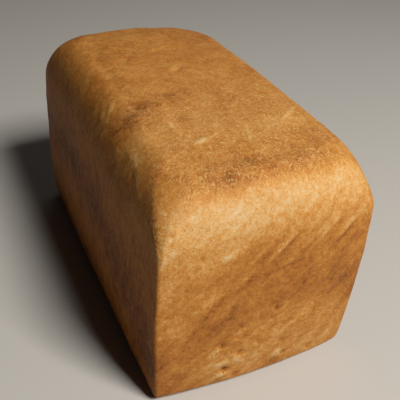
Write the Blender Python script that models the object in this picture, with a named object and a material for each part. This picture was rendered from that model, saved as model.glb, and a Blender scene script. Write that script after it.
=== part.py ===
"""A tin loaf: one plain loaf of bread, baked in a long straight-sided tin.

The loaf is one closed solid that stands on its flat base. Its sides are the
print of the tin: nearly upright, and swollen a little at mid height. Above
the tin's rim the dough rose free, so there the sides roll over in large soft
shoulders to a top that is almost flat.

Metres, +Z up. X is the loaf's width, Y its length, and the origin is the
middle of the base. The short end at -Y is the front.
"""

import math

import bmesh
import bpy

# Overall size.
WIDTH = 0.108
LENGTH = 0.195
HEIGHT = 0.1145

# Upright sides: how far the long sides and the short ends stand out at mid
# height, and how far they bow out between the corners.
SIDE_SWELL = 0.0019
END_SWELL = 0.0022
WIDEST_HEIGHT = 0.45 * HEIGHT
SIDE_BOW = 0.0009
END_BOW = 0.0030

# Size of the base, out to the lines that its corners would meet on.
BASE_WIDTH = WIDTH - 2 * (SIDE_SWELL + SIDE_BOW)
BASE_LENGTH = LENGTH - 2 * (END_SWELL + END_BOW)

# Rounding of the edge between the base and the sides.
BASE_EDGE = 0.0060

# Shoulders: the height over which the sides roll in, and how far they do.
SHOULDER_DROP = 0.0250
SHOULDER_INSET = 0.0145

# Top: how far its middle stands above the rim of the shoulders, how steeply
# it reaches that height, and the faint hollows that cross it.
CROWN = 0.0015
CROWN_STEEPNESS = 3.0
HOLLOW_DEPTH = 0.0006
HOLLOW_LENGTH = 0.060
HOLLOW_SLANT = 0.4

# Corner radii seen from above, as (at the base, at the rim of the top). The
# keys are the signs of X and Y.
CORNER_RADII = {
    (-1, -1): (0.0020, 0.0205),
    (1, -1): (0.0060, 0.0250),
    (-1, 1): (0.0025, 0.0155),
    (1, 1): (0.0100, 0.0285),
}

# Mesh: segments along X, Y and Z, and the share of them that goes into the
# bends.
SEGMENTS = (16, 24, 22)
CORNER_SHARE = 0.30
BASE_SHARE = 4 / 22
SHOULDER_SHARE = 11 / 22

# Crust: a golden brown, dull skin.
CRUST_COLOUR = (0.50, 0.21, 0.055, 1.0)
CRUST_ROUGHNESS = 0.62


def clear_scene():
    """Remove every object that the scene starts with."""
    for obj in list(bpy.data.objects):
        bpy.data.objects.remove(obj, do_unlink=True)


def crust_material():
    """The baked skin of the loaf."""
    material = bpy.data.materials.new("crust")
    material.use_nodes = True
    shader = material.node_tree.nodes["Principled BSDF"]
    shader.inputs["Base Color"].default_value = CRUST_COLOUR
    shader.inputs["Roughness"].default_value = CRUST_ROUGHNESS
    shader.inputs["Metallic"].default_value = 0.0
    return material


def smooth_step(value):
    """Ease from 0 to 1 with level ends."""
    value = min(max(value, 0.0), 1.0)
    return value * value * (3.0 - 2.0 * value)


def blend(start, end, share):
    """The value that lies at a share of the way from start to end."""
    return start + (end - start) * share


def side_profile(rise):
    """Height of a side's ring, how far its bends set it back, and its share
    of the climb over the shoulder.

    The rise runs from 0 at the base to 1 at the rim of the top: round the
    base edge, up the straight side, then over the shoulder.
    """
    shoulder_start = HEIGHT - CROWN - SHOULDER_DROP
    if rise < BASE_SHARE:
        turn = 0.5 * math.pi * rise / BASE_SHARE
        return BASE_EDGE * (1.0 - math.cos(turn)), BASE_EDGE * (1.0 - math.sin(turn)), 0.0
    if rise < 1.0 - SHOULDER_SHARE:
        share = (rise - BASE_SHARE) / (1.0 - SHOULDER_SHARE - BASE_SHARE)
        return blend(BASE_EDGE, shoulder_start, share), 0.0, 0.0
    turn = 0.5 * math.pi * (rise - 1.0 + SHOULDER_SHARE) / SHOULDER_SHARE
    climb = math.sin(turn)
    return shoulder_start + SHOULDER_DROP * climb, SHOULDER_INSET * (1.0 - math.cos(turn)), climb


def swell(height, depth):
    """How far a side stands out at a height: nothing at the base, and its
    full depth where the loaf is widest."""
    offset = (height - WIDEST_HEIGHT) / WIDEST_HEIGHT
    return depth * (1.0 - offset * offset)


def bow(travel, depth):
    """How far a side stands out between its corners, for a travel of -1 to 1."""
    run = min(abs(travel) / (1.0 - CORNER_SHARE), 1.0)
    return depth * (1.0 - run * run)


def corner_radius(across, along, climb):
    """Corner radius seen from above, eased between the loaf's four corners.

    The climb is 0 on the upright sides and 1 at the rim of the top.
    """
    right = smooth_step(0.5 + 0.5 * across)
    back = smooth_step(0.5 + 0.5 * along)
    radius = 0.0
    for (side, end), (at_base, at_rim) in CORNER_RADII.items():
        side_weight = right if side > 0 else 1.0 - right
        end_weight = back if end > 0 else 1.0 - back
        radius += side_weight * end_weight * blend(at_base, at_rim, climb)
    return radius


def edge_point(travel, half, radius):
    """A point of one edge of a rounded rectangle, for a travel of -1 to 1.

    Returns its place along the edge, and how far the corner has pulled it
    in from the edge's line.
    """
    distance = abs(travel)
    straight = half - radius
    if distance <= 1.0 - CORNER_SHARE:
        place = straight * distance / (1.0 - CORNER_SHARE)
        return math.copysign(place, travel), 0.0
    turn = 0.25 * math.pi * (distance - 1.0 + CORNER_SHARE) / CORNER_SHARE
    place = straight + radius * math.sin(turn)
    return math.copysign(place, travel), radius * (1.0 - math.cos(turn))


def section_point(across, along, half_width, half_length, radius):
    """A point of a level section: its outline where across or along is 1 or
    -1, and an even grid inside it."""
    x_edge, y_pull = edge_point(across, half_width, radius)
    y_edge, x_pull = edge_point(along, half_length, radius)
    corner_pull = radius * (1.0 - math.cos(0.25 * math.pi))
    x = x_edge + across * (corner_pull - x_pull)
    y = y_edge + along * (corner_pull - y_pull)
    return x, y


def crown(x, y, half_width, half_length):
    """Rise of the top above its rim: a low dome with faint hollows."""
    inside = max((1.0 - (x / half_width) ** 2) * (1.0 - (y / half_length) ** 2), 0.0)
    dome = CROWN * smooth_step(CROWN_STEEPNESS * inside)
    ripple = math.sin(math.pi * (y + HOLLOW_SLANT * x) / HOLLOW_LENGTH)
    return dome - HOLLOW_DEPTH * inside * ripple * ripple


def loaf_point(across, along, up):
    """Place of the loaf's skin for a point of a cube from -1 to 1."""
    rise = 0.5 + 0.5 * up
    height, setback, climb = side_profile(rise)
    half_width = BASE_WIDTH / 2 + swell(height, SIDE_SWELL) + bow(along, SIDE_BOW) - setback
    half_length = BASE_LENGTH / 2 + swell(height, END_SWELL) + bow(across, END_BOW) - setback
    radius = corner_radius(across, along, climb)
    x, y = section_point(across, along, half_width, half_length, radius)
    if up == 1.0:
        height += crown(x, y, half_width, half_length)
    return x, y, height


def gridded_cube(bm):
    """A cube from -1 to 1, cut into an even grid along each axis."""
    bmesh.ops.create_cube(bm, size=2.0)
    for axis, segments in enumerate(SEGMENTS):
        edges = [edge for edge in bm.edges
                 if abs(edge.verts[0].co[axis] - edge.verts[1].co[axis]) > 1.0]
        bmesh.ops.subdivide_edges(bm, edges=edges, cuts=segments - 1, use_grid_fill=True)


def settle(bm):
    """Stand the loaf on its base, with the middle of its box over the origin."""
    xs = [vert.co.x for vert in bm.verts]
    ys = [vert.co.y for vert in bm.verts]
    zs = [vert.co.z for vert in bm.verts]
    shift = (-0.5 * (min(xs) + max(xs)), -0.5 * (min(ys) + max(ys)), -min(zs))
    bmesh.ops.translate(bm, verts=bm.verts[:], vec=shift)


def make_loaf(collection, material):
    """The whole loaf, as one closed solid."""
    bm = bmesh.new()
    gridded_cube(bm)
    for vert in bm.verts:
        vert.co = loaf_point(*vert.co)
    settle(bm)
    bmesh.ops.recalc_face_normals(bm, faces=bm.faces[:])
    mesh = bpy.data.meshes.new("loaf")
    bm.to_mesh(mesh)
    bm.free()
    mesh.materials.append(material)
    mesh.shade_smooth()
    loaf = bpy.data.objects.new("loaf", mesh)
    collection.objects.link(loaf)
    return loaf


clear_scene()
tin_loaf = bpy.data.collections.new("tin_loaf")
bpy.context.scene.collection.children.link(tin_loaf)
make_loaf(tin_loaf, crust_material())
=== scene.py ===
"""A tin loaf: white bread baked in a long, straight-sided tin and turned out whole.

The script follows the bread as it is made: the risen dough takes its form from
the tin, its skin is marked, the oven browns it, and the crust wrinkles.
"""
import math

import bmesh
import bpy
import numpy as np
from mathutils import Euler, Matrix, Vector


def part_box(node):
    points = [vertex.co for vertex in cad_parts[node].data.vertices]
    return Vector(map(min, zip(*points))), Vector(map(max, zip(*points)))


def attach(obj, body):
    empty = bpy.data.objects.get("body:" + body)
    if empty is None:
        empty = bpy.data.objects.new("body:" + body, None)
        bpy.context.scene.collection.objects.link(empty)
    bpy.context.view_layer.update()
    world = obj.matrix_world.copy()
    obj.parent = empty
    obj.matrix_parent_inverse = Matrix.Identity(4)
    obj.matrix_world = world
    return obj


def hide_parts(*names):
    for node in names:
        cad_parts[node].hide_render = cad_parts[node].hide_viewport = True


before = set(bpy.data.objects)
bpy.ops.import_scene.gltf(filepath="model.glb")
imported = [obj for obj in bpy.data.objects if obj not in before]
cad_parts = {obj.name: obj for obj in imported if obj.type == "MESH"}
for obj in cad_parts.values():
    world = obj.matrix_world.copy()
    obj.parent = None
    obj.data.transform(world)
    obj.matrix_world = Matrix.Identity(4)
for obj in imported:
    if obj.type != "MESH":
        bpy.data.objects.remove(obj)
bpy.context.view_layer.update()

# ---------------------------------------------------------------------------
# The dough. One lump of white dough fills the tin, which prints its upright
# sides; above the rim it rises free and rolls over into large soft shoulders.
# It is made as an even grid on a block, bent into the form of the baked loaf.
# ---------------------------------------------------------------------------

MM = 0.001

LOAF_LOW, LOAF_HIGH = (np.array(corner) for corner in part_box("loaf"))
LOAF_WIDTH, LOAF_LENGTH, LOAF_HEIGHT = LOAF_HIGH - LOAF_LOW

# How far the long sides and the ends stand out where the loaf is widest, and
# how far they bow out between the corners.
SIDE_SWELL, END_SWELL, WIDEST_HEIGHT = 1.9 * MM, 2.2 * MM, 0.45 * LOAF_HEIGHT
SIDE_BOW, END_BOW = 0.9 * MM, 3.0 * MM

# Rounding of the base edge, and how low and how far in the shoulders roll.
BASE_EDGE = 6.0 * MM
SHOULDER_DROP, SHOULDER_INSET = 25.0 * MM, 14.5 * MM

# The middle of the top stands above the shoulders' rim, with faint hollows
# that cross it aslant.
CROWN, CROWN_STEEPNESS = 1.5 * MM, 3.0
HOLLOW_DEPTH, HOLLOW_LENGTH, HOLLOW_SLANT = 0.6 * MM, 60.0 * MM, 0.4

# Corner radii at the base and at the rim of the top, by the signs of X and Y.
CORNER_RADII = {
    (-1, -1): (2.0 * MM, 20.5 * MM),
    (1, -1): (6.0 * MM, 25.0 * MM),
    (-1, 1): (2.5 * MM, 15.5 * MM),
    (1, 1): (10.0 * MM, 28.5 * MM),
}

# Cells of the skin's grid along X, Y and Z, and the shares of them that bend.
SKIN_CELLS = (88, 152, 104)
CORNER_SHARE, BASE_SHARE, SHOULDER_SHARE = 0.20, 0.09, 0.34
TOP_LAYER = 1.0 - 1e-6


def ease(value, low=0.0, high=1.0):
    """Rise smoothly from 0 at low to 1 at high."""
    share = np.clip((value - low) / (high - low), 0.0, 1.0)
    return share * share * (3.0 - 2.0 * share)


def side_profile(rise):
    """Height and setback of the side's rings and their share of the climb over
    the shoulder, for a rise of 0 to 1."""
    shoulder_start = LOAF_HEIGHT - CROWN - SHOULDER_DROP
    base_turn = 0.5 * math.pi * np.clip(rise / BASE_SHARE, 0.0, 1.0)
    straight = np.clip((rise - BASE_SHARE) / (1.0 - SHOULDER_SHARE - BASE_SHARE), 0.0, 1.0)
    top_turn = 0.5 * math.pi * np.clip((rise - 1.0 + SHOULDER_SHARE) / SHOULDER_SHARE, 0.0, 1.0)
    height = BASE_EDGE * (1.0 - np.cos(base_turn)) + (shoulder_start - BASE_EDGE) * straight
    height = height + SHOULDER_DROP * np.sin(top_turn)
    setback = BASE_EDGE * (1.0 - np.sin(base_turn)) + SHOULDER_INSET * (1.0 - np.cos(top_turn))
    return height, setback, np.sin(top_turn)


def bow(travel):
    """How far a side stands out between its corners: 1 in its middle, 0 at a corner."""
    return 1.0 - np.minimum(np.abs(travel) / (1.0 - CORNER_SHARE), 1.0) ** 2


def edge_point(travel, half, radius):
    """Place along an edge of a rounded rectangle, and the corner's pull on it."""
    distance = np.abs(travel)
    run = np.minimum(distance / (1.0 - CORNER_SHARE), 1.0)
    turn = 0.25 * math.pi * np.clip((distance - 1.0 + CORNER_SHARE) / CORNER_SHARE, 0.0, 1.0)
    place = (half - radius) * run + radius * np.sin(turn)
    return np.sign(travel) * place, radius * (1.0 - np.cos(turn))


def loaf_form(block):
    """Bend the points of a block from -1 to 1 into the form of the loaf."""
    across, along, up = block.T
    height, setback, climb = side_profile(0.5 + 0.5 * up)
    swell = 1.0 - (height / WIDEST_HEIGHT - 1.0) ** 2
    base_width = LOAF_WIDTH - 2.0 * (SIDE_SWELL + SIDE_BOW)
    base_length = LOAF_LENGTH - 2.0 * (END_SWELL + END_BOW)
    half_width = base_width / 2 + SIDE_SWELL * swell + SIDE_BOW * bow(along) - setback
    half_length = base_length / 2 + END_SWELL * swell + END_BOW * bow(across) - setback
    right, back = ease(0.5 + 0.5 * across), ease(0.5 + 0.5 * along)
    radius = np.zeros(len(block))
    for (side, end), (at_base, at_rim) in CORNER_RADII.items():
        weight = (right if side > 0 else 1.0 - right) * (back if end > 0 else 1.0 - back)
        radius += weight * (at_base + (at_rim - at_base) * climb)
    x_edge, y_pull = edge_point(across, half_width, radius)
    y_edge, x_pull = edge_point(along, half_length, radius)
    corner_pull = radius * (1.0 - math.cos(0.25 * math.pi))
    x = x_edge + across * (corner_pull - x_pull)
    y = y_edge + along * (corner_pull - y_pull)
    inside = np.clip((1.0 - (x / half_width) ** 2) * (1.0 - (y / half_length) ** 2), 0.0, 1.0)
    ripple = np.sin(math.pi * (y + HOLLOW_SLANT * x) / HOLLOW_LENGTH) ** 2
    crown = CROWN * ease(CROWN_STEEPNESS * inside) - HOLLOW_DEPTH * inside * ripple
    return np.stack([x, y, height + crown * (up > TOP_LAYER)], axis=1)


def gridded_block(cells):
    """A block from -1 to 1 whose faces are cut into an even grid."""
    bm = bmesh.new()
    bmesh.ops.create_cube(bm, size=2.0)
    for axis, count in enumerate(cells):
        long_edges = [edge for edge in bm.edges
                      if abs(edge.verts[0].co[axis] - edge.verts[1].co[axis]) > 1.0]
        bmesh.ops.subdivide_edges(bm, edges=long_edges, cuts=count - 1, use_grid_fill=True)
    bmesh.ops.recalc_face_normals(bm, faces=bm.faces[:])
    mesh = bpy.data.meshes.new("loaf_skin")
    bm.to_mesh(mesh)
    bm.free()
    return mesh


def read_points(mesh):
    """The vertices of a mesh as rows of X, Y and Z."""
    flat = np.empty(len(mesh.vertices) * 3, dtype=np.float32)
    mesh.vertices.foreach_get("co", flat)
    return flat.reshape(-1, 3).astype(np.float64)


def write_points(mesh, points):
    """Move the vertices of a mesh."""
    mesh.vertices.foreach_set("co", points.astype(np.float32).ravel())
    mesh.update()


def read_normals(mesh):
    """The direction that the skin faces at each vertex."""
    flat = np.empty(len(mesh.vertices) * 3, dtype=np.float32)
    mesh.vertex_normals.foreach_get("vector", flat)
    return flat.reshape(-1, 3).astype(np.float64)


skin_mesh = gridded_block(SKIN_CELLS)
write_points(skin_mesh, loaf_form(read_points(skin_mesh)))
loaf_skin = bpy.data.objects.new("loaf_skin", skin_mesh)
bpy.context.scene.collection.objects.link(loaf_skin)

points = read_points(skin_mesh)
facing = read_normals(skin_mesh)
X, Y, Z = points.T / MM


def save_numbers(mesh, name, values):
    """Keep one number for each vertex on the mesh."""
    layer = mesh.attributes.new(name, "FLOAT", "POINT")
    layer.data.foreach_set("value", np.asarray(values, dtype=np.float32))


# ---------------------------------------------------------------------------
# Marks of the dough. Where a bubble burst or the dough stuck, the crust has
# pits with a pale torn lip, pale smears, ridges, folds and creases. Each is
# placed in millimetres on one face, as relief and a change of colour.
# ---------------------------------------------------------------------------

# A face to mark: its axis across, its axis up, the axis it looks along, and
# which way it looks.
FRONT, BACK = (0, 2, 1, -1), (0, 2, 1, 1)
LEFT, RIGHT = (1, 2, 0, -1), (1, 2, 0, 1)
CROWN_FACE = (0, 1, 2, 1)

# A mark fades out where the skin turns away from its face, and all relief
# fades out at the foot, to leave the base flat.
FACE_FADE = (0.25, 0.6)
FOOT_FADE = (1.0, 6.0)

# How far the marks stand out in millimetres, and how far they darken and pale.
relief = np.zeros(len(points))
scorch = np.zeros(len(points))
bare = np.zeros(len(points))


def mark(face, across, up, long, short, turn=0.0, sharpness=2.0):
    """Weight of an oval mark on a face: 1 in its middle, 0 outside. Sizes are
    half lengths in millimetres, and the turn is in degrees from level."""
    level_axis, up_axis, look_axis, sign = face
    du = points[:, level_axis] / MM - across
    dv = points[:, up_axis] / MM - up
    cosine, sine = math.cos(math.radians(turn)), math.sin(math.radians(turn))
    reach = ((du * cosine + dv * sine) / long) ** 2 + ((dv * cosine - du * sine) / short) ** 2
    return np.exp(-reach ** (0.5 * sharpness)) * ease(sign * facing[:, look_axis], *FACE_FADE)


# Pits: across, up, half width and depth. A pit's lip stands below it, on the
# side towards -X or -Y.
FRONT_PITS = (
    (-18.0, 13.0, 2.3, 1.7), (-16.5, 20.0, 1.5, 1.0), (-11.5, 23.0, 2.0, 1.5),
    (-21.5, 31.0, 1.7, 1.3), (-12.0, 7.0, 2.0, 1.0), (-14.5, 34.5, 1.2, 0.7),
    (-12.5, 40.0, 1.3, 0.8), (-9.5, 33.0, 1.3, 0.9), (-2.5, 27.0, 1.5, 1.1),
    (-1.5, 19.0, 0.9, 0.6), (4.0, 46.5, 1.5, 1.2), (10.0, 23.5, 1.3, 0.9),
    (13.0, 13.0, 1.8, 1.3), (25.0, 43.0, 1.2, 0.6), (6.5, 37.0, 0.9, 0.5),
    (29.0, 9.0, 1.8, 1.1), (-47.0, 68.0, 1.1, 0.8), (-34.0, 83.5, 1.4, 0.8),
    (-48.0, 57.0, 1.1, 0.8), (-35.5, 58.0, 0.9, 0.5), (8.0, 88.0, 1.0, 0.6),
)
BACK_PITS = (
    (20.0, 16.0, 2.2, 1.6), (14.0, 24.0, 1.4, 1.0), (-6.0, 33.0, 1.6, 1.1),
    (31.0, 40.0, 1.2, 0.8), (-24.0, 14.0, 1.9, 1.2), (-33.0, 61.0, 1.1, 0.7),
)
SIDE_PITS = (
    (-58.0, 14.0, 1.9, 1.3), (-50.0, 22.0, 1.3, 0.9), (-21.0, 34.0, 1.6, 1.0),
    (12.0, 11.0, 2.1, 1.4), (19.0, 19.0, 1.4, 0.8), (44.0, 29.0, 1.5, 1.0),
    (66.0, 17.0, 1.9, 1.2), (71.0, 52.0, 1.2, 0.7), (-76.0, 47.0, 1.3, 0.8),
)
PITTED_FACES = ((FRONT, FRONT_PITS), (BACK, BACK_PITS), (LEFT, SIDE_PITS), (RIGHT, SIDE_PITS))

# A pit's and its lip's shape in pit radii, their relief, and their colour.
PIT_FLATNESS, PIT_TURN, PIT_SHARPNESS = 0.8, -30.0, 3.0
LIP_LONG, LIP_SHORT, LIP_LEFT, LIP_DOWN = 1.5, 1.1, 0.8, 0.7
PIT_RELIEF, LIP_RELIEF = -0.7, 0.25
PIT_SCORCH, LIP_BARE = 0.35, 0.12

for pit_face, pits in PITTED_FACES:
    for across, up, radius, depth in pits:
        hole = mark(pit_face, across, up, radius, PIT_FLATNESS * radius, PIT_TURN, PIT_SHARPNESS)
        lip = mark(pit_face, across - LIP_LEFT * radius, up - LIP_DOWN * radius,
                   LIP_LONG * radius, LIP_SHORT * radius)
        relief += LIP_RELIEF * depth * lip * (1.0 - hole) + PIT_RELIEF * depth * hole
        scorch += PIT_SCORCH * depth * hole
        bare += LIP_BARE * depth * lip * (1.0 - hole)

# Pale smears of stuck dough near the foot of the front: across, up, half
# length, half width, turn, paleness.
SMEARS = (
    (-25.5, 27.5, 3.8, 1.1, 48.0, 0.52), (-22.0, 18.5, 3.0, 1.5, 20.0, 0.38),
    (-12.5, 18.5, 4.0, 1.8, -35.0, 0.30), (-20.5, 10.0, 4.0, 1.4, 30.0, 0.28),
    (8.5, 14.5, 3.6, 2.2, -10.0, 0.28), (0.5, 47.0, 3.0, 1.5, -15.0, 0.14),
    (-44.0, 22.0, 9.0, 5.0, 10.0, 0.12), (-23.0, 82.5, 3.0, 2.0, 20.0, 0.30),
)
SMEAR_RELIEF = 0.45

for across, up, long, short, turn, paleness in SMEARS:
    smear = mark(FRONT, across, up, long, short, turn)
    relief += SMEAR_RELIEF * smear
    bare += paleness * smear

# Ridges that run up to the right across the front, where the dough slid up
# the tin, each with a darker furrow below it: across, up, half length, half
# width, turn, height.
RIDGES = (
    (2.0, 82.5, 7.5, 1.3, 46.0, 0.70), (5.0, 72.5, 8.0, 0.9, 12.0, 0.40),
    (-9.0, 80.0, 7.0, 1.4, 44.0, 0.42), (-16.0, 68.0, 8.0, 1.5, 46.0, 0.40),
    (13.0, 80.0, 7.0, 1.3, 40.0, 0.42), (23.0, 84.0, 8.0, 1.4, 42.0, 0.42),
    (-29.0, 60.0, 8.0, 1.6, 48.0, 0.36), (34.0, 82.0, 8.0, 1.5, 44.0, 0.38),
    (-38.0, 46.0, 8.0, 1.6, 50.0, 0.30), (16.0, 66.0, 7.0, 1.3, 38.0, 0.30),
)
FURROW_RIGHT, FURROW_DOWN, FURROW_DEPTH = 2.2, 2.0, 0.8
RIDGE_BARE, FURROW_SCORCH = 0.45, 0.45

for across, up, long, short, turn, height in RIDGES:
    ridge = mark(FRONT, across, up, long, short, turn)
    furrow = mark(FRONT, across + FURROW_RIGHT, up - FURROW_DOWN, long, short, turn)
    relief += height * (ridge - FURROW_DEPTH * furrow)
    bare += RIDGE_BARE * height * ridge
    scorch += FURROW_SCORCH * height * furrow

# Scorched blisters, most of them on the left shoulder, and small dark specks
# of the top: across, along, half length, half width, turn, darkness.
BLISTERS = (
    (-31.5, -21.5, 12.0, 7.0, 25.0, 0.32), (-41.0, -32.0, 9.0, 8.0, 60.0, 0.25),
    (-46.0, -24.0, 12.0, 6.0, 80.0, 0.16), (-43.0, 18.0, 8.0, 5.5, 70.0, 0.22),
    (-46.0, 4.0, 9.0, 4.0, 85.0, 0.15), (-15.0, -13.5, 5.0, 2.4, 20.0, 0.22),
    (-20.0, -38.0, 3.2, 2.8, 30.0, 0.24), (-37.0, 78.0, 7.0, 5.0, 30.0, 0.20),
    (30.0, -68.0, 16.0, 8.0, 15.0, 0.13), (-20.0, -84.0, 9.0, 3.5, 5.0, 0.22),
    (6.0, -80.0, 16.0, 5.0, 5.0, 0.12), (-42.0, -62.0, 8.0, 6.0, 70.0, 0.10),
    (43.0, -80.0, 4.0, 2.0, 20.0, 0.30), (-9.0, -63.5, 0.9, 0.8, 0.0, 0.35),
    (-20.0, -62.0, 0.8, 0.7, 0.0, 0.25), (4.0, -66.0, 0.8, 0.7, 0.0, 0.25),
    (28.0, 52.0, 11.0, 7.0, 40.0, 0.12), (36.0, 5.0, 9.0, 6.0, 80.0, 0.10),
)
BLISTER_RELIEF = 0.35

for across, along, long, short, turn, darkness in BLISTERS:
    blister = mark(CROWN_FACE, across, along, long, short, turn)
    relief += BLISTER_RELIEF * darkness * blister
    scorch += darkness * blister

# Soft dimples of the top, each with a low rise beside it: across, along, half
# length, half width, turn, height.
DIMPLES = (
    (-1.0, 13.0, 3.2, 1.8, 55.0, -0.8), (-20.5, 34.0, 4.0, 1.8, 60.0, -0.7),
    (0.0, 41.0, 4.0, 2.0, 30.0, -0.6), (-25.0, 45.0, 6.0, 3.0, 20.0, -0.4),
)
RISE_LEFT, RISE_BACK, RISE_WIDTH, RISE_SHARE = 2.0, 3.0, 1.2, 0.5

for across, along, long, short, turn, height in DIMPLES:
    relief += height * mark(CROWN_FACE, across, along, long, short, turn)
    rise = mark(CROWN_FACE, across - RISE_LEFT, along + RISE_BACK, long, RISE_WIDTH * short, turn)
    relief -= RISE_SHARE * height * rise

# Pale creases and stretch marks of the top: across, along, half length, half
# width, turn, height.
CREASES = (
    (28.5, -47.5, 12.0, 0.9, 42.0, 0.35), (-22.5, -24.0, 6.5, 1.1, 78.0, 0.30),
    (-26.0, -41.0, 13.0, 0.9, 86.0, 0.30), (-20.0, -58.5, 3.6, 1.6, 25.0, 0.55),
    (-13.0, -56.0, 6.0, 0.8, 35.0, 0.25), (2.0, -58.0, 9.0, 0.8, 72.0, 0.22),
    (-8.0, -47.0, 7.0, 0.8, 60.0, 0.20), (-44.0, -12.0, 4.0, 1.2, 60.0, 0.35),
    (-47.0, -52.0, 9.0, 1.4, 88.0, 0.22), (10.0, -30.0, 9.0, 0.9, 50.0, 0.15),
)
CREASE_BARE = 0.8

for across, along, long, short, turn, height in CREASES:
    crease = mark(CROWN_FACE, across, along, long, short, turn)
    relief += height * crease
    bare += CREASE_BARE * height * crease

# Flakes of torn skin on the front left corner: across, up, half length, half
# width, turn, paleness.
FLAKES = (
    (-49.5, 91.0, 1.3, 0.7, 70.0, 0.26), (-47.2, 94.5, 1.1, 0.7, 20.0, 0.30),
    (-50.5, 96.0, 1.2, 0.7, 110.0, 0.22), (-46.0, 98.5, 1.3, 0.7, 50.0, 0.24),
    (-49.0, 99.0, 1.0, 0.6, 0.0, 0.26), (-44.0, 96.0, 1.0, 0.6, 130.0, 0.18),
    (-50.0, 86.5, 1.2, 0.6, 85.0, 0.20), (-46.5, 89.5, 1.0, 0.6, 40.0, 0.18),
)
FLAKE_RELIEF = 0.5

for across, up, long, short, turn, paleness in FLAKES:
    flake = mark(FRONT, across, up, long, short, turn)
    relief += FLAKE_RELIEF * flake
    bare += paleness * flake

# Crumpled folds where the left shoulder sank: along, up, half length, half
# width, turn, height.
FOLDS = (
    (-8.0, 106.0, 7.0, 2.4, 25.0, 0.35), (-17.0, 100.0, 4.5, 2.0, 120.0, 0.32),
    (3.0, 99.0, 6.0, 2.6, 150.0, 0.30), (-33.0, 103.0, 8.0, 2.6, 15.0, 0.32),
    (-47.0, 98.0, 6.0, 2.4, 135.0, 0.28), (-62.0, 101.0, 8.0, 2.6, 30.0, 0.30),
    (22.0, 104.0, 9.0, 3.0, 160.0, 0.26), (47.0, 101.0, 8.0, 3.0, 20.0, 0.24),
)
TROUGH_BACK, TROUGH_DEPTH, FOLD_BARE = 3.0, 0.7, 0.25

for along, up, long, short, turn, height in FOLDS:
    fold = mark(LEFT, along, up, long, short, turn)
    trough = mark(LEFT, along + TROUGH_BACK, up, long, short, turn)
    relief += height * (fold - TROUGH_DEPTH * trough)
    bare += FOLD_BARE * height * fold

write_points(skin_mesh, points + facing * (relief * MM * ease(Z, *FOOT_FADE))[:, None])

# ---------------------------------------------------------------------------
# The bake. The oven browns the free top most, leaves a pale band round the
# shoulder where the dough burst up past the tin's rim, and browns the middle
# of each tin-baked side. Kept on the skin as one number: 0 raw, 1 dark brown,
# which on the long sides also holds painted shade.
# ---------------------------------------------------------------------------

side_face, end_face = facing[:, 0] ** 2, facing[:, 1] ** 2
front_end = ease(-facing[:, 1], 0.2, 0.8)


def spot(across, up, wide, high):
    """A soft spot of an end of the loaf: 1 in its middle, 0 far from it."""
    return np.exp(-((X - across) / wide) ** 2 - ((Z - up) / high) ** 2)


# The tin-baked faces brown in an arched belt, darker again at the foot. On the
# long sides the arch is drawn out along the loaf, and below the shoulders they
# are darkened further with painted shade.
SIDE_BAKE, BELT_BAKE, FOOT_BAKE, LONG_SIDE_PAINTED_SHADE = 0.43, 0.30, 0.05, 0.16
BELT_HEIGHT, BELT_PLACE, BELT_ARCH, BELT_DRAWN_OUT = 60.0, 12.0, 0.0075, 0.55
BELT_UPPER, BELT_LOWER, BELT_SHARPNESS = 24.0, 21.0, 1.3
FOOT_HEIGHT, FOOT_BLEND = 18.0, 16.0

along_face = np.where(end_face > side_face, X, BELT_DRAWN_OUT * Y)
belt_middle = BELT_HEIGHT - BELT_ARCH * (along_face - BELT_PLACE) ** 2
belt_width = np.where(Z > belt_middle, BELT_UPPER, BELT_LOWER)
belt = np.exp(-((Z - belt_middle) / belt_width) ** 2 * BELT_SHARPNESS)
foot = ease(FOOT_HEIGHT - Z, 0.0, FOOT_BLEND)
printed_bake = SIDE_BAKE + BELT_BAKE * belt + FOOT_BAKE * foot

# The lower left of the loaf is browner, and the left of the front is paler.
LOWER_LEFT_BAKE, FRONT_LEFT_BAKE = 0.16, -0.12

lower_left = ease(-X, 10.0, 50.0) * ease(45.0 - Z, 0.0, 30.0)
front_left = spot(-42.0, 52.0, wide=14.0, high=24.0) * front_end
printed_bake = printed_bake + LOWER_LEFT_BAKE * lower_left + FRONT_LEFT_BAKE * front_left

# The free top is browner along its front edge, at the front right and to the
# back, with a paler strip across it behind the front edge.
TOP_BAKE, RIM_BAKE, FRONT_RIGHT_BAKE, BACK_BAKE, STRIP_BAKE = 0.53, 0.09, 0.05, 0.08, -0.04

front_right = ease(X, 20.0, 45.0) * ease(-Y, 20.0, 70.0)
strip = ease(-Y, 20.0, 45.0) * ease(70.0 + Y, 0.0, 15.0)
top_bake = TOP_BAKE + RIM_BAKE * ease(-Y, 58.0, 80.0) + FRONT_RIGHT_BAKE * front_right
top_bake = top_bake + BACK_BAKE * ease(Y, 0.0, 90.0) + STRIP_BAKE * strip

# The pale band round the shoulder. It is faint but for the front, where it
# climbs to the right, is strongest near the middle and weakens on the left.
BAND_HEIGHT, BAND_CLIMB, BAND_UPPER, BAND_LOWER = 103.0, 0.07, 6.0, 12.5
BAND_PALE, FRONT_BAND_PALE, MIDDLE_BAND_PALE, CORNER_BAND_PALE = 0.03, 0.15, 0.13, 0.08
MIDDLE_BAND_PLACE, MIDDLE_BAND_WIDTH, LEFT_BAND_LOSS = -10.0, 22.0, 0.55

band_middle = BAND_HEIGHT + BAND_CLIMB * X * front_end
band_width = np.where(Z > band_middle, BAND_UPPER, BAND_LOWER)
band = np.exp(-((Z - band_middle) / band_width) ** 2)
middle_band = np.exp(-((X - MIDDLE_BAND_PLACE) / MIDDLE_BAND_WIDTH) ** 2)
band_strength = BAND_PALE + front_end * (FRONT_BAND_PALE + MIDDLE_BAND_PALE * middle_band)
band_strength = band_strength * (1.0 - LEFT_BAND_LOSS * front_end * ease(-X, 34.0, 48.0))
band_strength = band_strength + CORNER_BAND_PALE * ease(X, 25.0, 45.0) * ease(-Y, 60.0, 85.0)

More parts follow.
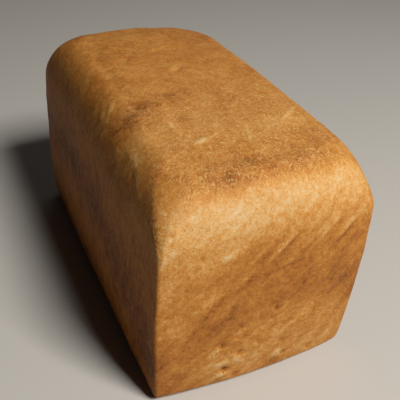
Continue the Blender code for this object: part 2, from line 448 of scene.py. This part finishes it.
over_shoulder = ease(Z, 106.0, 113.0)
bake = printed_bake * (1.0 - over_shoulder) + top_bake * over_shoulder
# Painted shade: the long sides below the shoulders are made darker than their baked colour.
bake = bake + LONG_SIDE_PAINTED_SHADE * side_face * (1.0 - over_shoulder)

# Pale flecks lie on the top, most on its front half, in the pale band and on
# the crackled front left corner.
BACK_FLECKS, BAND_FLECKS, FRONT_FLECKS, CRACKLE_FLECKS = 0.25, 0.6, 0.15, 0.9
CRACKLE_HEIGHT, CRACKLE_SPREAD = 94.0, 13.0

crackle = np.exp(-((Z - CRACKLE_HEIGHT) / CRACKLE_SPREAD) ** 2)
crackle = crackle * ease(-X, 30.0, 48.0) * ease(-Y, 60.0, 88.0)
top_flecks = BACK_FLECKS + (1.0 - BACK_FLECKS) * ease(-Y, -10.0, 45.0)
flecks = ease(Z, 100.0, 112.0) * top_flecks * ease(48.0 + X, -4.0, 14.0)
flecks = np.maximum(flecks, BAND_FLECKS * band * front_end)
flecks = flecks + FRONT_FLECKS * front_end + CRACKLE_FLECKS * crackle

save_numbers(skin_mesh, "bake", bake)
save_numbers(skin_mesh, "pale", band_strength * band)
save_numbers(skin_mesh, "flecks", flecks)
save_numbers(skin_mesh, "scorch", scorch)
save_numbers(skin_mesh, "bare", bare)
save_numbers(skin_mesh, "risen", ease(Z, 98.0, 111.0))
save_numbers(skin_mesh, "end", end_face / (side_face + end_face + 1e-6))

# ---------------------------------------------------------------------------
# The wrinkled skin. As the hot loaf shrinks its thin crust crimps: fine
# crinkles on the free top, slanting drag lines on the ends and nearly upright
# ones on the long sides, with pinholes. A node tree lifts the grid by these.
# ---------------------------------------------------------------------------


class Wire:
    """The output of a node. Sums done with it add the nodes that do them."""

    def __init__(self, nodes, socket):
        self.nodes = nodes
        self.socket = socket

    def maths(self, operation, *others):
        """A Math node on this value and the others."""
        values = dict(enumerate((self, *others)))
        return self.nodes.add("ShaderNodeMath", {"operation": operation}, values)

    def __add__(self, other):
        return self.maths("ADD", other)

    def __sub__(self, other):
        return self.maths("SUBTRACT", other)

    def __mul__(self, other):
        return self.maths("MULTIPLY", other)

    def __truediv__(self, other):
        return self.maths("DIVIDE", other)

    def __rsub__(self, other):
        return (self * -1.0) + other

    __radd__ = __add__
    __rmul__ = __mul__

    def rise(self, low, high):
        """Rise smoothly from 0 at low to 1 at high, or fall where low is above high."""
        settings = {"interpolation_type": "SMOOTHSTEP"}
        values = {"Value": self, "From Min": low, "From Max": high, "To Min": 0.0, "To Max": 1.0}
        if low > high:
            values.update({"From Min": high, "From Max": low, "To Min": 1.0, "To Max": 0.0})
        return self.nodes.add("ShaderNodeMapRange", settings, values)


class Nodes:
    """A node tree that is filled through one method."""

    def __init__(self, tree):
        self.tree = tree

    def add(self, kind, settings=None, values=None, output=0):
        """Add a node, set it up, give its sockets values or wires, and return an output."""
        node = self.tree.nodes.new(kind)
        for name, setting in (settings or {}).items():
            if name == "stops":
                fill_ramp(node.color_ramp, setting)
            else:
                setattr(node, name, setting)
        for key, value in (values or {}).items():
            if isinstance(value, Wire):
                self.tree.links.new(value.socket, node.inputs[key])
            else:
                node.inputs[key].default_value = value
        return Wire(self, node.outputs[output]) if node.outputs else None

    def mixed(self, factor, first, second):
        """Two colours mixed by a factor."""
        settings = {"data_type": "RGBA", "blend_type": "MIX", "clamp_factor": True}
        return self.add("ShaderNodeMix", settings, {0: factor, 6: first, 7: second}, output=2)

    def noise(self, place, scale, detail=2.0, roughness=0.5, distortion=0.0):
        """Noise from -1 to 1."""
        values = {"Vector": place, "Scale": scale, "Detail": detail,
                  "Roughness": roughness, "Distortion": distortion}
        return (self.add("ShaderNodeTexNoise", values=values) - 0.5) * 2.0

    def lined(self, place, turn, stretch):
        """A place turned by degrees and stretched, so that a pattern on it runs in lines."""
        angles = [math.radians(angle) for angle in turn]
        turned = self.add("ShaderNodeVectorRotate", {"rotation_type": "EULER_XYZ"},
                          {"Vector": place, "Rotation": angles})
        return self.add("ShaderNodeVectorMath", {"operation": "MULTIPLY"}, {0: turned, 1: stretch})


def fill_ramp(ramp, stops):
    """Give a colour ramp its stops, as (place, colour)."""
    while len(ramp.elements) < len(stops):
        ramp.elements.new(1.0)
    for element, (place, colour) in zip(ramp.elements, stops):
        element.position = place
        element.color = (*colour, 1.0)


SKIN_INPUTS = {
    "Lump Size": 34.0 * MM,
    "Lump Height": 0.9 * MM,
    "Crinkle Size": 3.6 * MM,
    "Crinkle Height": 0.30 * MM,
    "Drag Line Size": 3.4 * MM,
    "Drag Line Height": 0.24 * MM,
    "Pinhole Spacing": 12.0 * MM,
    "Pinhole Radius": 0.7 * MM,
    "Pinhole Depth": 0.5 * MM,
}

# The turn in degrees and the stretch of the drag lines on the ends and sides.
END_LINES = (0.0, 45.0, 0.0), (0.35, 1.0, 1.3)
SIDE_LINES = (-20.0, 0.0, 0.0), (1.0, 1.3, 0.3)

# The share of the crinkles' height that the tin-baked sides have, the share of
# the cells with no pinhole, and the heights over which the foot is left flat.
SIDE_CRINKLES = 0.2
BARE_CELLS = 0.45
FLAT_FOOT = (1.0 * MM, 7.0 * MM)


def skin_tree(material):
    """The node tree that raises the skin."""
    tree = bpy.data.node_groups.new("crust_skin", "GeometryNodeTree")
    tree.interface.new_socket("Geometry", in_out="INPUT", socket_type="NodeSocketGeometry")
    for name in SKIN_INPUTS:
        tree.interface.new_socket(name, in_out="INPUT", socket_type="NodeSocketFloat")
    tree.interface.new_socket("Geometry", in_out="OUTPUT", socket_type="NodeSocketGeometry")
    nodes = Nodes(tree)
    group = tree.nodes.new("NodeGroupInput")
    given = {socket.name: Wire(nodes, socket) for socket in group.outputs if socket.name}

    place = nodes.add("GeometryNodeInputPosition")
    normal = nodes.add("GeometryNodeInputNormal")
    risen = nodes.add("GeometryNodeInputNamedAttribute", {"data_type": "FLOAT"}, {"Name": "risen"})
    end = nodes.add("GeometryNodeInputNamedAttribute", {"data_type": "FLOAT"}, {"Name": "end"})
    height = nodes.add("ShaderNodeSeparateXYZ", values={0: place}, output=2)

    def scale_of(name):
        """The scale of a pattern whose size is one of the inputs."""
        return given[name].maths("POWER", -1.0)

    lumps = nodes.noise(place, scale_of("Lump Size"))
    crinkles = nodes.noise(place, scale_of("Crinkle Size"), detail=3.0, roughness=0.6, distortion=0.8)
    crinkles = 0.5 - crinkles.maths("ABSOLUTE")
    end_lines = nodes.noise(nodes.lined(place, *END_LINES), scale_of("Drag Line Size"))
    side_lines = nodes.noise(nodes.lined(place, *SIDE_LINES), scale_of("Drag Line Size"))
    off_corner = (end * 2.0 - 1.0).maths("ABSOLUTE")
    drag = (end_lines * end + side_lines * (1.0 - end)) * off_corner

    cells = {"Vector": place, "Scale": scale_of("Pinhole Spacing")}
    to_pinhole = nodes.add("ShaderNodeTexVoronoi", values=cells, output=0) * given["Pinhole Spacing"]
    cell_colour = nodes.add("ShaderNodeTexVoronoi", values=cells, output=1)
    chosen = nodes.add("ShaderNodeSeparateXYZ", values={0: cell_colour}).maths("GREATER_THAN", BARE_CELLS)
    depth_share = (to_pinhole / given["Pinhole Radius"]).rise(1.0, 0.2) * chosen

    on_sides = 1.0 - risen
    crinkled = risen * (1.0 - SIDE_CRINKLES) + SIDE_CRINKLES
    raise_by = lumps * given["Lump Height"] + crinkles * given["Crinkle Height"] * crinkled
    raise_by = raise_by + drag * given["Drag Line Height"] * on_sides
    raise_by = raise_by - depth_share * given["Pinhole Depth"] * on_sides
    raise_by = raise_by * height.rise(*FLAT_FOOT)
    offset = nodes.add("ShaderNodeVectorMath", {"operation": "SCALE"}, {0: normal, "Scale": raise_by})
    lifted = nodes.add("GeometryNodeSetPosition", values={"Geometry": given["Geometry"], "Offset": offset})
    kept = nodes.add("GeometryNodeStoreNamedAttribute", {"data_type": "FLOAT", "domain": "POINT"},
                     {"Geometry": lifted, "Name": "pinhole", "Value": depth_share * on_sides})
    whole = nodes.add("GeometryNodeRealizeInstances", values={"Geometry": kept})
    coated = nodes.add("GeometryNodeSetMaterial", values={"Geometry": whole, "Material": material})
    nodes.add("NodeGroupOutput", values={"Geometry": coated})
    return tree


def raise_skin(loaf, tree):
    """Run the skin's node tree on the loaf and keep the result as a plain mesh."""
    modifier = loaf.modifiers.new("crust_skin", "NODES")
    modifier.node_group = tree
    for item in tree.interface.items_tree:
        if item.in_out == "INPUT" and item.name in SKIN_INPUTS:
            modifier[item.identifier] = SKIN_INPUTS[item.name]
    graph = bpy.context.evaluated_depsgraph_get()
    raised = bpy.data.meshes.new_from_object(loaf.evaluated_get(graph), depsgraph=graph)
    loaf.modifiers.remove(modifier)
    loaf.data = raised
    raised.name = "loaf_skin"


def fit_to_tin(mesh):
    """Fit the wrinkled skin to the loaf's true size along each axis."""
    skin = read_points(mesh)
    low, high = skin.min(axis=0), skin.max(axis=0)
    write_points(mesh, (skin - low) / (high - low) * (LOAF_HIGH - LOAF_LOW) + LOAF_LOW)


# ---------------------------------------------------------------------------
# The crust's colour. Browned wheat crust: cream where it is hardly baked,
# through gold to a deep red-brown, mottled, with pale thread-like flecks on
# the top. One shader mixes these by the bake, which holds painted shade on the
# long sides, and by the marks kept on the skin.
# ---------------------------------------------------------------------------

CREAM = (0.66, 0.475, 0.265)
PALE_GOLD = (0.61, 0.345, 0.125)
GOLD = (0.53, 0.235, 0.052)
GOLDEN_BROWN = (0.43, 0.165, 0.028)
BROWN = (0.34, 0.115, 0.020)
DEEP_BROWN = (0.15, 0.048, 0.009)
FLECK = (0.72, 0.43, 0.155)
PIT_SHADE = (0.17, 0.065, 0.016)

BAKE_STOPS = (
    (0.0, CREAM), (0.2, PALE_GOLD), (0.38, GOLD),
    (0.56, GOLDEN_BROWN), (0.74, BROWN), (1.0, DEEP_BROWN),
)

# Sizes of the crust's patterns, from its broad patches down to its grain.
PATCH_SIZE, MOTTLE_SIZE, SPECK_SIZE, GRAIN_SIZE = 24.0 * MM, 5.5 * MM, 2.0 * MM, 0.9 * MM
END_STREAK_SIZE, SIDE_STREAK_SIZE, PORE_SIZE = 5.5 * MM, 2.2 * MM, 1.4 * MM
COARSE_THREAD_SIZE, FINE_THREAD_SIZE, THREAD_GAP_SIZE = 5.2 * MM, 2.7 * MM, 3.4 * MM

# The turn in degrees and the stretch of the streaks on the ends and sides.
END_STREAKS = (0.0, 45.0, 0.0), (0.30, 1.0, 1.1)
SIDE_STREAKS = (-12.0, 0.0, 0.0), (1.0, 1.2, 0.14)

# How far each pattern changes the bake, and how unevenly the pale band and
# the scorched marks are broken up by the patches and the mottle.
PATCH_BAKE, MOTTLE_BAKE, SPECK_BAKE, GRAIN_BAKE, STREAK_BAKE = 0.19, 0.27, 0.27, 0.25, 0.28
BAND_PATCHES, BAND_MOTTLE = 1.2, 0.7
SCORCH_BAKE, SCORCH_MOTTLE = 0.85, 0.7

# How strongly the flecks, the pores and the pinholes colour the crust.
FLECK_STRENGTH, FINE_THREADS = 0.8, 0.8
PORE_STRENGTH, PINHOLE_STRENGTH = 0.4, 0.4

# The crust's dull gloss and what makes it duller, its depth of glow, and the
# shares of the patterns in its fine relief.
CRUST_ROUGHNESS, CRUST_SPECULAR = 0.56, 0.10
DULL_MOTTLE, DULL_GRAIN, DULL_PINHOLES = 0.08, 0.08, 0.2
GLOW_WEIGHT, GLOW_RADIUS, GLOW_DEPTH = 0.1, (1.0, 0.45, 0.2), 1.5 * MM
FINE_RELIEF_STRENGTH, FINE_RELIEF_DEPTH = 0.5, 0.5 * MM
RAISED_GRAIN, RAISED_SPECKS, RAISED_MOTTLE, RAISED_STREAKS = 0.25, 0.35, 0.3, 0.35
RAISED_FLECKS, RAISED_THREADS, SUNK_PORES = 0.5, 0.1, 0.5


def crust_material():
    """The baked skin: its colour, dull gloss and finest grain."""
    material = bpy.data.materials.new("baked_crust")
    material.use_nodes = True
    tree = material.node_tree
    tree.nodes.clear()
    nodes = Nodes(tree)
    place = nodes.add("ShaderNodeTexCoord", output=3)

    def kept(name):
        """A number that was kept on the skin."""
        return nodes.add("ShaderNodeAttribute", {"attribute_name": name}, output=2)

    bake_kept, pale, scorched, bared = kept("bake"), kept("pale"), kept("scorch"), kept("bare")
    risen, end, pinhole, flecked = kept("risen"), kept("end"), kept("pinhole"), kept("flecks")
    on_sides = 1.0 - risen

    patches = nodes.noise(place, 1.0 / PATCH_SIZE, detail=3.0, distortion=0.6)
    mottle = nodes.noise(place, 1.0 / MOTTLE_SIZE, detail=4.0, roughness=0.6, distortion=0.5)
    specks = nodes.noise(place, 1.0 / SPECK_SIZE, roughness=0.6, distortion=0.4)
    grain = nodes.noise(place, 1.0 / GRAIN_SIZE, roughness=0.6)
    end_streaks = nodes.noise(nodes.lined(place, *END_STREAKS), 1.0 / END_STREAK_SIZE)
    side_streaks = nodes.noise(nodes.lined(place, *SIDE_STREAKS), 1.0 / SIDE_STREAK_SIZE,
                               detail=3.0, roughness=0.65)
    off_corner = (end * 2.0 - 1.0).maths("ABSOLUTE")
    streaks = (end_streaks * end + side_streaks * (1.0 - end)) * off_corner

    bake = bake_kept - pale * (1.0 + patches * BAND_PATCHES + mottle * BAND_MOTTLE)
    bake = bake + patches * PATCH_BAKE + mottle * MOTTLE_BAKE + specks * SPECK_BAKE + grain * GRAIN_BAKE
    bake = bake + streaks * on_sides * STREAK_BAKE
    bake = bake + scorched * (SCORCH_BAKE + mottle * SCORCH_MOTTLE) - bared
    colour = nodes.add("ShaderNodeValToRGB", {"stops": BAKE_STOPS}, {0: bake})

    # Pale flecks: short bent threads, coarse ones and fine ones by turns.
    coarse = nodes.noise(place, 1.0 / COARSE_THREAD_SIZE, detail=3.0, roughness=0.6, distortion=1.6)
    coarse = coarse.maths("ABSOLUTE").rise(0.08, 0.0)
    fine = nodes.noise(place, 1.0 / FINE_THREAD_SIZE, roughness=0.6, distortion=1.8)
    fine = fine.maths("ABSOLUTE").rise(0.10, 0.0)
    where_coarse = nodes.noise(place, 1.0 / THREAD_GAP_SIZE).rise(-0.25, 0.25)
    thread = coarse * where_coarse + fine * (1.0 - where_coarse) * FINE_THREADS
    colour = nodes.mixed(thread * flecked * FLECK_STRENGTH, colour, (*FLECK, 1.0))

    # Pores: dark pinpricks of the tin-baked faces, and the deeper pinholes.
    pores = nodes.noise(place, 1.0 / PORE_SIZE, detail=1.0, distortion=0.5).rise(0.36, 0.56) * on_sides
    shade = pores * PORE_STRENGTH + pinhole.rise(0.1, 0.9) * PINHOLE_STRENGTH
    colour = nodes.mixed(shade, colour, (*PIT_SHADE, 1.0))

    roughness = CRUST_ROUGHNESS + mottle * DULL_MOTTLE + grain * DULL_GRAIN + pinhole * DULL_PINHOLES
    height = grain * RAISED_GRAIN + specks * RAISED_SPECKS + mottle * RAISED_MOTTLE
    height = height + thread * (flecked * RAISED_FLECKS + RAISED_THREADS) - pores * SUNK_PORES
    height = height + streaks * on_sides * RAISED_STREAKS
    bump = nodes.add("ShaderNodeBump", values={
        "Strength": FINE_RELIEF_STRENGTH, "Distance": FINE_RELIEF_DEPTH, "Height": height})

    crust = nodes.add("ShaderNodeBsdfPrincipled", values={
        "Base Color": colour, "Roughness": roughness, "Normal": bump,
        "Specular IOR Level": CRUST_SPECULAR, "Subsurface Weight": GLOW_WEIGHT,
        "Subsurface Radius": GLOW_RADIUS, "Subsurface Scale": GLOW_DEPTH})
    nodes.add("ShaderNodeOutputMaterial", values={"Surface": crust})
    return material


baked_crust = crust_material()
raise_skin(loaf_skin, skin_tree(baked_crust))
fit_to_tin(loaf_skin.data)
loaf_skin.data.shade_smooth()

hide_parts("loaf")
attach(loaf_skin, "root")

# ---------------------------------------------------------------------------
# The table that the loaf cools on: a plain pale top, not part of the loaf.
# ---------------------------------------------------------------------------

TABLE_SIZE = 6.0
TABLE_COLOUR = (0.50, 0.465, 0.41)
TABLE_ROUGHNESS = 0.8


def table_material():
    """Matt pale laminate."""
    material = bpy.data.materials.new("pale_table")
    material.use_nodes = True
    shader = material.node_tree.nodes["Principled BSDF"]
    shader.inputs["Base Color"].default_value = (*TABLE_COLOUR, 1.0)
    shader.inputs["Roughness"].default_value = TABLE_ROUGHNESS
    return material


bpy.ops.mesh.primitive_plane_add(size=TABLE_SIZE)
table = bpy.context.active_object
table.name = "table"
table.data.materials.append(table_material())

# ---------------------------------------------------------------------------
# The light: one soft lamp high in front and to the right, a weak one behind and
# to the right, and a dim white room.
# ---------------------------------------------------------------------------

WHITE = (1.0, 1.0, 1.0)
WINDOW_PLACE, WINDOW_SIZE, WINDOW_POWER = (0.26, -0.71, 0.96), 0.34, 17.2
ROOM_PLACE, ROOM_SIZE, ROOM_POWER = (0.7, 1.0, 0.7), 1.0, 0.9
ROOM_GLOW = 0.01


def soft_lamp(name, place, size, power):
    """A square white lamp that looks at the middle of the loaf."""
    light = bpy.data.lights.new(name, "AREA")
    light.shape = "SQUARE"
    light.size = size
    light.energy = power
    light.color = WHITE
    lamp = bpy.data.objects.new(name, light)
    lamp.location = place
    aim = Vector((0.0, 0.0, 0.5 * LOAF_HEIGHT)) - Vector(place)
    lamp.rotation_euler = aim.to_track_quat("-Z", "Y").to_euler()
    bpy.context.scene.collection.objects.link(lamp)


soft_lamp("window_light", WINDOW_PLACE, WINDOW_SIZE, WINDOW_POWER)
soft_lamp("room_light", ROOM_PLACE, ROOM_SIZE, ROOM_POWER)

room = bpy.data.worlds.new("white_room")
room.use_nodes = True
background = room.node_tree.nodes["Background"]
background.inputs["Color"].default_value = (*WHITE, 1.0)
background.inputs["Strength"].default_value = ROOM_GLOW
bpy.context.scene.world = room
bpy.context.scene.view_settings.view_transform = "Standard"

# ---------------------------------------------------------------------------
# The camera looks down on the front left corner, held a little askew.
# ---------------------------------------------------------------------------

CAMERA_PLACE = (-0.1172, -0.2501, 0.2335)
CAMERA_AZIMUTH, CAMERA_DOWN, CAMERA_ROLL = -27.2, 34.7, 4.4
LENS, SENSOR_WIDTH = 53.8, 36.0

lens = bpy.data.cameras.new("camera")
lens.lens = LENS
lens.sensor_width = SENSOR_WIDTH
camera = bpy.data.objects.new("camera", lens)
look = Euler((math.radians(90.0 - CAMERA_DOWN), 0.0, math.radians(CAMERA_AZIMUTH))).to_matrix()
turned_look = look @ Matrix.Rotation(math.radians(CAMERA_ROLL), 3, "Z")
camera.matrix_world = Matrix.Translation(CAMERA_PLACE) @ turned_look.to_4x4()
bpy.context.scene.collection.objects.link(camera)
bpy.context.scene.camera = camera
